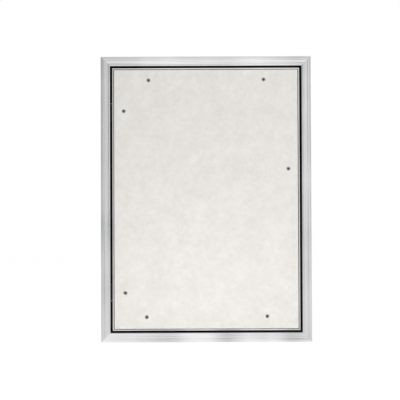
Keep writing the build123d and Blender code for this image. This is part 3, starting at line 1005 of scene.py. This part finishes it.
class FastenerTree:
    """Geometry Nodes tree that sets a fastener on every point, each turned differently."""

    SOCKETS = {
        "Fastener": "NodeSocketObject",
        "Head turn": "NodeSocketVector",
        "Seed": "NodeSocketInt",
        "Finish": "NodeSocketMaterial",
    }

    def __init__(self) -> None:
        """Build the tree."""
        tree = bpy.data.node_groups.new("fasteners_on_points", "GeometryNodeTree")
        tree.interface.new_socket("Geometry", in_out="OUTPUT", socket_type="NodeSocketGeometry")
        tree.interface.new_socket("Geometry", in_out="INPUT", socket_type="NodeSocketGeometry")
        self.identifiers = {}
        for label, kind in self.SOCKETS.items():
            socket = tree.interface.new_socket(label, in_out="INPUT", socket_type=kind)
            self.identifiers[label] = socket.identifier
        start = add_node(tree, "NodeGroupInput").outputs
        fastener = add_node(tree, "GeometryNodeObjectInfo", {"Object": start["Fastener"]})
        turn = add_node(tree, "FunctionNodeEulerToRotation", {0: start["Head turn"]})
        points = add_node(tree, "GeometryNodeMeshToPoints", {"Mesh": start["Geometry"]})
        placed = add_node(
            tree,
            "GeometryNodeInstanceOnPoints",
            {
                "Points": points.outputs[0],
                "Instance": fastener.outputs["Geometry"],
                "Rotation": turn.outputs[0],
            },
        )
        random = add_node(
            tree,
            "FunctionNodeRandomValue",
            {"Min": (0.0, 0.0, 0.0), "Max": (0.0, 0.0, math.tau), "Seed": start["Seed"]},
            data_type="FLOAT_VECTOR",
        )
        spin = add_node(tree, "FunctionNodeEulerToRotation", {0: random.outputs[0]})
        turned = add_node(
            tree,
            "GeometryNodeRotateInstances",
            {"Instances": placed.outputs[0], "Rotation": spin.outputs[0], "Local Space": True},
        )
        real = add_node(tree, "GeometryNodeRealizeInstances", {0: turned.outputs[0]})
        dressed = add_node(
            tree,
            "GeometryNodeSetMaterial",
            {"Geometry": real.outputs[0], "Material": start["Finish"]},
        )
        add_node(tree, "NodeGroupOutput", {0: dressed.outputs[0]})
        self.tree = tree

    def set_on_node(
        self,
        node: str,
        fastener: bpy.types.Object,
        facing: Facing,
        finish: bpy.types.Material,
        seed: int,
        head_height: float = 0.0,
    ) -> bpy.types.Object:
        """Put a fastener where each solid of a node is.

        Args:
            node: Node whose solids give the places.
            fastener: Loose object with its head towards +Z.
            facing: Direction that the heads face.
            finish: Material of the fasteners.
            seed: Seed of their turns.
            head_height: How far the head stands above the fastener's z = 0.

        Returns:
            One piece with all the fasteners.
        """
        out = facing.direction
        places = []
        for low, high in islands(node):
            half = abs((high - low).dot(out)) / 2
            places.append((low + high) / 2 + out * (half - head_height))
        mesh = bpy.data.meshes.new(node)
        mesh.from_pydata(places, [], [])
        piece = new_object(f"{node}_finished", mesh)
        modifier = piece.modifiers.new("fasteners", "NODES")
        modifier.node_group = self.tree
        values = {"Fastener": fastener, "Head turn": facing.turn, "Seed": seed, "Finish": finish}
        for label, value in values.items():
            modifier[self.identifiers[label]] = value
        apply_modifiers(piece)
        smooth_shading(piece.data)
        return piece


@dataclass(frozen=True)
class Finisher:
    """Makes finished copies of solids that share a body and a material."""

    body: str
    slot: str
    material: bpy.types.Material
    edge: float

    def copy(self, node: str, reshape: Callable[[bpy.types.Mesh], None] | None = None) -> None:
        """Finish one solid."""
        piece = softened_copy(node, self.material, self.edge, reshape)
        place_piece(piece, self.body, node)

    def copy_all(self, prefix: str) -> None:
        """Finish every solid whose name starts with a prefix.

        Args:
            prefix: Start of the names.
        """
        for name in sorted(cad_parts):
            if name.startswith(prefix):
                self.copy(name)


@dataclass
class WallFrame:
    """Mitred extrusions that are fixed in the wall, their corner keys and the seal."""

    finishes: Finishes
    body: str = "frame"
    edge: float = 0.22 * MM
    key_edge: float = 0.3 * MM
    # Space at each end of a hinge arm: what the solid leaves, and what the finished mesh leaves.
    stile_gap: tuple[float, float] = (1.0 * MM, 0.3 * MM)
    seal_gap: tuple[float, float] = (0.4 * MM, 0.05 * MM)
    gap_tolerance: float = 0.01 * MM

    def build(self) -> None:
        """Finish the four sides, the keys and the seal."""
        rails = Finisher(self.body, "aluminium_extrusion", self.finishes.along_x, self.edge)
        stiles = Finisher(self.body, "aluminium_extrusion", self.finishes.along_z, self.edge)
        for end in ("top", "bottom"):
            rails.copy(f"frame_{end}_rail")
        stiles.copy("frame_left_stile", partial(self.narrow_windows, gaps=self.stile_gap))
        stiles.copy("frame_right_stile")
        keys = Finisher(self.body, "key_aluminium", self.finishes.sawn, self.key_edge)
        keys.copy_all("frame_corner_key_")
        seals = Finisher(self.body, "seal_rubber", self.finishes.rubber, 0.0)
        for place in ("top", "bottom", "right"):
            seals.copy(f"seal_{place}")
        seals.copy("seal_left", partial(self.narrow_windows, gaps=self.seal_gap))

    def narrow_windows(self, mesh: bpy.types.Mesh, gaps: tuple[float, float]) -> None:
        """Bring the ends of the hinge windows closer to the arms, so that no light shows.

        Args:
            mesh: Mesh of the left stile or its seal.
            gaps: Space that the solid leaves at each end of an arm, and the space to leave.
        """
        given, kept = gaps
        for place in ("upper", "lower"):
            low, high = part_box(f"hinge_arm_{place}")
            for vertex in mesh.vertices:
                in_window = vertex.co.x > low.x and vertex.co.y < high.y
                for end, side in ((high.z, 1), (low.z, -1)):
                    past_end = (vertex.co.z - end) * side
                    if in_window and abs(past_end - given) < self.gap_tolerance:
                        vertex.co.z = end + side * kept


@dataclass
class Leaf:
    """The swinging leaf: its extrusions, keys and the cement board."""

    finishes: Finishes
    body: str = "door"
    edge: float = 0.18 * MM
    key_edge: float = 0.3 * MM
    board_edge: float = 0.25 * MM

    def build(self) -> None:
        """Finish the four sides, the keys and the board."""
        rails = Finisher(self.body, "aluminium_extrusion", self.finishes.along_x, self.edge)
        stiles = Finisher(self.body, "aluminium_extrusion", self.finishes.beside_board, self.edge)
        for end in ("top", "bottom"):
            rails.copy(f"leaf_{end}_rail")
        for hand in ("left", "right"):
            stiles.copy(f"leaf_{hand}_stile")
        keys = Finisher(self.body, "key_aluminium", self.finishes.sawn, self.key_edge)
        keys.copy_all("leaf_corner_key_")
        board = Finisher(self.body, "cement_board", self.finishes.board, self.board_edge)
        board.copy("infill_board")


@dataclass
class Hinges:
    """Two concealed hinges: arm, saddle, pin and washers."""

    finishes: Finishes
    edge: float = 0.3 * MM
    fine_edge: float = 0.12 * MM

    def build(self) -> None:
        """Finish the pieces of both hinges."""
        arms = Finisher("door", "hinge_steel", self.finishes.zinc, self.edge)
        saddles = Finisher("frame", "hinge_steel", self.finishes.zinc, self.edge)
        pins = Finisher("frame", "pin_steel", self.finishes.wire, self.fine_edge)
        washers = Finisher("frame", "washer_nylon", self.finishes.white, self.fine_edge)
        for place in ("upper", "lower"):
            arms.copy(f"hinge_arm_{place}")
            saddles.copy(f"hinge_saddle_{place}")
            pins.copy(f"hinge_pin_{place}")
            washers.copy(f"hinge_washers_{place}")


@dataclass
class PushLatch:
    """Magnetic push latch on its bracket, and the strike plate on the leaf."""

    finishes: Finishes
    edge: float = 0.25 * MM
    magnet_edge: float = 0.15 * MM
    barrel_wall: float = 1.3 * MM
    barrel_sides: int = 48
    nose_bore: float = 4.58 * MM
    nose_length: float = 4.0 * MM
    thread_pitch: float = 1.5 * MM
    thread_depth: float = 0.35 * MM
    thread_lead: float = 1.2 * MM
    rows_per_turn: int = 6
    plain_share: float = 0.4  # height of the barrel beside its thread, in thread depths
    wire_radius: float = 0.45 * MM
    wire_sides: int = 12
    coil_turns: float = 7.0
    rings_per_turn: int = 28
    look_ahead: float = 0.001  # share of the wire over which its direction is taken

    def build(self) -> None:
        """Finish the latch and the strike plate."""
        Finisher("frame", "hinge_steel", self.finishes.zinc, self.edge).copy("latch_bracket")
        Finisher("door", "hinge_steel", self.finishes.zinc, self.edge).copy("strike_plate")
        moulded = Finisher("frame", "latch_plastic", self.finishes.black, self.edge)
        moulded.copy("latch_nuts")
        moulded.copy("latch_end_cap")
        plunger = Finisher("latch_plunger", "plunger_plastic", self.finishes.grey, self.edge)
        plunger.copy("latch_plunger")
        magnet = Finisher("latch_plunger", "magnet_nickel", self.finishes.nickel, self.magnet_edge)
        magnet.copy("latch_magnet")
        self.barrel()
        self.spring()

    def barrel(self) -> None:
        """Barrel with an outside thread over most of its length, and a stepped bore."""
        low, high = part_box("latch_barrel")
        middle = (low + high) / 2
        outer = (high.x - low.x) / 2
        bore = outer - self.barrel_wall
        core = outer - self.thread_depth
        step = self.thread_pitch / self.rows_per_turn
        rows = [low.y + step * row for row in range(int((high.y - low.y) / step) + 1)]
        # Each ring is a depth and the radius of the bore there, or none on the outside.
        rings = [(depth, None) for depth in rows]
        rings += [(high.y, bore), (low.y + self.nose_length, bore)]
        rings += [(low.y + self.nose_length, self.nose_bore), (low.y, self.nose_bore)]

        def outside(depth: float, turn: float) -> float:
            """Find the outside of the thread, which fades out towards both ends.

            Args:
                depth: Place along the barrel.
                turn: Share of a turn round it.

            Returns:
                The radius there.
            """
            from_end = min(depth - low.y, high.y - depth)
            fade = min(1.0, max(0.0, (from_end - self.thread_lead) / self.thread_lead))
            ridge = thread_height(depth / self.thread_pitch + turn)
            return core + self.thread_depth * (ridge * fade + (1 - fade) * self.plain_share)

        def point(ring: int, side: int) -> Vector:
            """Find a point of the outside or the bore.

            Args:
                ring: Number of the ring.
                side: Number of the point in the ring.

            Returns:
                The point.
            """
            depth, fixed = rings[ring]
            turn = side / self.barrel_sides
            across, up = around(outside(depth, turn) if fixed is None else fixed, turn)
            return Vector((middle.x + across, depth, middle.z + up))

        mesh = tube_mesh("latch_barrel", len(rings), self.barrel_sides, point, looped=True)
        mesh.materials.append(self.finishes.black)
        smooth_shading(mesh)
        piece = new_object("latch_barrel_finished", mesh)
        place_piece(piece, "frame", "latch_barrel")

    def spring(self) -> None:
        """Compression spring with closed end coils."""
        low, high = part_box("latch_spring")
        middle = (low + high) / 2
        radius = (high.x - low.x) / 2 - self.wire_radius
        front = low.y + self.wire_radius
        length = high.y - low.y - 2 * self.wire_radius
        rings = int(self.coil_turns * self.rings_per_turn) + 1
        closed = 1 / self.coil_turns

        def centre(share: float) -> Vector:
            """Find the middle of the wire.

            Args:
                share: Share of the wire's length.

            Returns:
                The point.
            """
            open_share = min(1.0, max(0.0, (share - closed) / (1 - 2 * closed)))
            lift = 2 * self.wire_radius * (min(share, closed) / closed)
            lift += 2 * self.wire_radius * max(0.0, (share - 1 + closed) / closed)
            depth = front + lift + open_share * (length - 4 * self.wire_radius)
            across, up = around(radius, share * self.coil_turns)
            return Vector((middle.x + across, depth, middle.z + up))

        def point(ring: int, side: int) -> Vector:
            """Find a point on the wire's surface.

            Args:
                ring: Number of the ring along the wire.
                side: Number of the point in the ring.

            Returns:
                The point.
            """
            share = ring / (rings - 1)
            here = centre(share)
            after = centre(min(1.0, share + self.look_ahead))
            before = centre(max(0.0, share - self.look_ahead))
            outward = Vector((here.x - middle.x, 0, here.z - middle.z)).normalized()
            across = (after - before).normalized().cross(outward).normalized()
            out_share, across_share = around(1.0, side / self.wire_sides)
            return here + (outward * out_share + across * across_share) * self.wire_radius

        mesh = tube_mesh("latch_spring", rings, self.wire_sides, point)
        mesh.materials.append(self.finishes.wire)
        smooth_shading(mesh)
        piece = new_object("latch_spring_finished", mesh)
        place_piece(piece, "frame", "latch_spring")
        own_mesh(piece)


@dataclass
class Fasteners:
    """Screws and rivets, set on the places that the solids give."""

    finishes: Finishes
    board_screw: ThreadedScrew = ThreadedScrew(4.1 * MM, 2.0 * MM, 19 * MM, 1.4 * MM, 0.45 * MM)
    arm_screw: ThreadedScrew = ThreadedScrew(3.6 * MM, 2.0 * MM, 7 * MM, 1.0 * MM, 0.35 * MM)
    strike_screw: ThreadedScrew = ThreadedScrew(2.6 * MM, 1.5 * MM, 5.5 * MM, 0.9 * MM, 0.3 * MM)
    saddle_rivet: DomedRivet = DomedRivet(3.1 * MM)
    bracket_rivet: DomedRivet = DomedRivet(3.6 * MM)
    board_seed: int = 3
    arm_seed: int = 5
    strike_seed: int = 8
    rivet_seed: int = 1

    def build(self) -> None:
        """Set every kind of fastener."""
        tree = FastenerTree()
        face = self.board_screw.build("face_screw")
        arm = self.arm_screw.build("arm_screw")
        small = self.strike_screw.build("strike_screw")
        finishes = self.finishes
        self.screws(tree, "board_screws", face, Facing.ROOM, finishes.face_screw, self.board_seed)
        for place in ("upper", "lower"):
            node = f"hinge_arm_screws_{place}"
            self.screws(tree, node, arm, Facing.WALL, finishes.arm_screw, self.arm_seed)
            self.rivets(tree, f"saddle_rivets_{place}", self.saddle_rivet, Facing.RIGHT)
        node = "strike_plate_screws"
        self.screws(tree, node, small, Facing.WALL, finishes.strike_screw, self.strike_seed)
        self.rivets(tree, "latch_rivets", self.bracket_rivet, Facing.LEFT)
        for loose in (face, arm, small):
            bpy.data.objects.remove(loose)

    def screws(
        self,
        tree: FastenerTree,
        node: str,
        screw: bpy.types.Object,
        facing: Facing,
        finish: bpy.types.Material,
        seed: int,
    ) -> None:
        """Set screws in a node of the leaf.

        Args:
            tree: Tree that sets them.
            node: Node that they stand for.
            screw: Loose screw.
            facing: Direction that the heads face.
            finish: Material of the screws.
            seed: Seed of their turns.
        """
        piece = tree.set_on_node(node, screw, facing, finish, seed)
        place_piece(piece, "door", node)

    def rivets(self, tree: FastenerTree, node: str, rivet: DomedRivet, facing: Facing) -> None:
        """Set rivets in a node of the frame.

        Args:
            tree: Tree that sets them.
            node: Node that they stand for.
            rivet: The rivet's sizes.
            facing: Direction that the heads face.
        """
        loose = rivet.build("rivet")
        height = rivet.head_height
        piece = tree.set_on_node(node, loose, facing, self.finishes.sawn, self.rivet_seed, height)
        place_piece(piece, "frame", node)
        bpy.data.objects.remove(loose)


@dataclass(frozen=True)
class Lamp:
    """Rectangular soft lamp that the camera doesn't see."""

    name: str
    place: tuple[float, float, float]
    aim: tuple[float, float, float]
    sides: tuple[float, float]
    watts: float
    mirrored: bool = False

    def hang(self) -> None:
        """Add the lamp, aimed at its target."""
        light = bpy.data.lights.new(self.name, "AREA")
        light.shape = "RECTANGLE"
        light.size, light.size_y = self.sides
        light.energy = self.watts
        holder = new_object(self.name, light)
        holder.location = self.place
        away = Vector(self.aim) - Vector(self.place)
        holder.rotation_euler = away.to_track_quat("-Z", "Y").to_euler()
        holder.visible_camera = False
        holder.visible_glossy = self.mirrored


@dataclass
class Studio:
    """Plain white floor and background, soft light and the photograph's camera.

    The world is white where the camera sees it, and brighter in the middle where metal does.
    """

    distance: float = 2.0
    metres_per_pixel: float = 0.001995
    middle_pixel: tuple[float, float] = (206.15, 198.95)  # the panel's middle in the picture
    roll: float = 0.21  # in degrees, as is the next value
    pitch: float = 1.0
    floor_side: float = 12.0
    floor_colour: str = "#F2F2F2"
    floor_white: float = 0.92  # share of plain white over the lit floor
    floor_strength: float = 1.03
    soft_light: float = 0.65
    # What metal mirrors: strength in the middle and outside, direction of the middle, weight of
    # each axis in the distance from it, and distance at which the outside begins.
    mirrored_light: tuple[float, float] = (1.3, 0.4)
    mirrored_middle: tuple[float, float, float] = (0.12, 0.0, -0.05)
    mirrored_shape: tuple[float, float, float] = (1.0, 0.0, 0.6)
    mirrored_reach: float = 0.62
    lamps: tuple[Lamp, ...] = (
        Lamp("low_strip", (0.0, -0.35, -0.262), (0.0, 0.0, -0.262), (0.5, 0.03), 0.37),
        Lamp("above_right", (0.9, -1.9, 0.8), (0.0, 0.0, 0.0), (1.2, 1.2), 14.5),
        Lamp("rear", (-1.0, 2.6, 1.0), (0.0, 0.0, 0.0), (1.6, 1.6), 32.0, mirrored=True),
    )

    def build(self) -> None:
        """Set up floor, world, lamps and camera."""
        self.floor()
        self.world()
        for lamp in self.lamps:
            lamp.hang()
        self.camera()

    @staticmethod
    def seen_directly(tree: bpy.types.NodeTree) -> bpy.types.NodeSocket:
        """Tell the rays that see the background from those that only light.

        Args:
            tree: Material or world tree.

        Returns:
            Socket that is 1 for a ray from the camera, a mirror or glass, and 0 for another.
        """
        path = add_node(tree, "ShaderNodeLightPath").outputs
        seen = path["Is Camera Ray"]
        for kind in ("Is Glossy Ray", "Is Transmission Ray"):
            both = {0: seen, 1: path[kind]}
            seen = add_node(tree, "ShaderNodeMath", both, operation="ADD", use_clamp=True).outputs[0]
        return seen

    def floor(self) -> None:
        """White floor that keeps a soft shadow."""
        low = CAD_BOX[0].z
        half = self.floor_side / 2
        mesh = bpy.data.meshes.new("floor")
        corners = [(-half, -half, low), (half, -half, low), (half, half, low), (-half, half, low)]
        mesh.from_pydata(corners, [], [(0, 1, 2, 3)])
        material, tree = new_material("white_floor")
        white = {0: self.seen_directly(tree), 1: self.floor_white}
        share = add_node(tree, "ShaderNodeMath", white, operation="MULTIPLY")
        matt = add_node(tree, "ShaderNodeBsdfDiffuse", {"Color": to_linear(self.floor_colour)})
        glow = {"Color": to_linear(WHITE), "Strength": self.floor_strength}
        bright = add_node(tree, "ShaderNodeEmission", glow)
        both = {0: share.outputs[0], 1: matt.outputs[0], 2: bright.outputs[0]}
        mix = add_node(tree, "ShaderNodeMixShader", both)
        add_node(tree, "ShaderNodeOutputMaterial", {"Surface": mix.outputs[0]})
        mesh.materials.append(material)
        new_object("floor", mesh)

    def mirrored_strength(self, tree: bpy.types.NodeTree) -> bpy.types.NodeSocket:
        """Strength of the background, which only metal sees as a bright middle.

        Args:
            tree: World tree.

        Returns:
            Socket that is 1 for the camera, and falls from the middle outwards for a mirror.
        """
        direction = add_node(tree, "ShaderNodeTexCoord").outputs["Generated"]
        steps = (("SUBTRACT", self.mirrored_middle), ("MULTIPLY", self.mirrored_shape))
        for operation, value in steps:
            inputs = {0: direction, 1: value}
            moved = add_node(tree, "ShaderNodeVectorMath", inputs, operation=operation)
            direction = moved.outputs[0]
        away = add_node(tree, "ShaderNodeVectorMath", {0: direction}, operation="LENGTH")
        centre, rest = self.mirrored_light
        mirrored = add_node(
            tree,
            "ShaderNodeMapRange",
            {0: away.outputs["Value"], 2: self.mirrored_reach, 3: centre, 4: rest},
            interpolation_type="SMOOTHSTEP",
        )
        glossy = add_node(tree, "ShaderNodeLightPath").outputs["Is Glossy Ray"]
        either = {0: glossy, 2: 1.0, 3: mirrored.outputs[0]}
        return add_node(tree, "ShaderNodeMix", either, data_type="FLOAT").outputs[0]

    def world(self) -> None:
        """Even light, and white for what the camera and the metal see behind the panel."""
        world = bpy.data.worlds.new("studio")
        bpy.context.scene.world = world
        world.use_nodes = True
        tree = world.node_tree
        tree.nodes.clear()
        choice = {0: self.seen_directly(tree)}
        for place, strength in ((1, self.soft_light), (2, self.mirrored_strength(tree))):
            light = {"Color": to_linear(WHITE), "Strength": strength}
            choice[place] = add_node(tree, "ShaderNodeBackground", light).outputs[0]
        mix = add_node(tree, "ShaderNodeMixShader", choice)
        add_node(tree, "ShaderNodeOutputWorld", {"Surface": mix.outputs[0]})

    def camera(self) -> None:
        """Camera in front of the panel and slightly below its middle, as the photograph's."""
        data = bpy.data.cameras.new("camera")
        view_width = self.metres_per_pixel * PICTURE_SIDE
        data.lens = data.sensor_width * self.distance / view_width
        holder = new_object("camera", data)
        half = PICTURE_SIDE / 2
        across = (self.middle_pixel[0] - half) * self.metres_per_pixel
        up = (half - self.middle_pixel[1]) * self.metres_per_pixel
        tilt = math.radians(self.pitch)
        below = self.distance * math.sin(tilt)
        holder.location = (-across, -self.distance * math.cos(tilt), -up - below)
        upright = Matrix.Rotation(math.pi / 2 + tilt, 4, "X")
        turned = upright @ Matrix.Rotation(math.radians(-self.roll), 4, "Z")
        holder.rotation_euler = turned.to_euler()
        bpy.context.scene.camera = holder


def main() -> None:
    """Finish the panel and set up the studio."""
    logging.basicConfig(level=logging.INFO)
    finishes = Finishes()
    WallFrame(finishes).build()
    Leaf(finishes).build()
    Hinges(finishes).build()
    PushLatch(finishes).build()
    Fasteners(finishes).build()
    Studio().build()
    bpy.context.scene.view_settings.view_transform = "Standard"


if __name__ == "__main__":
    main()
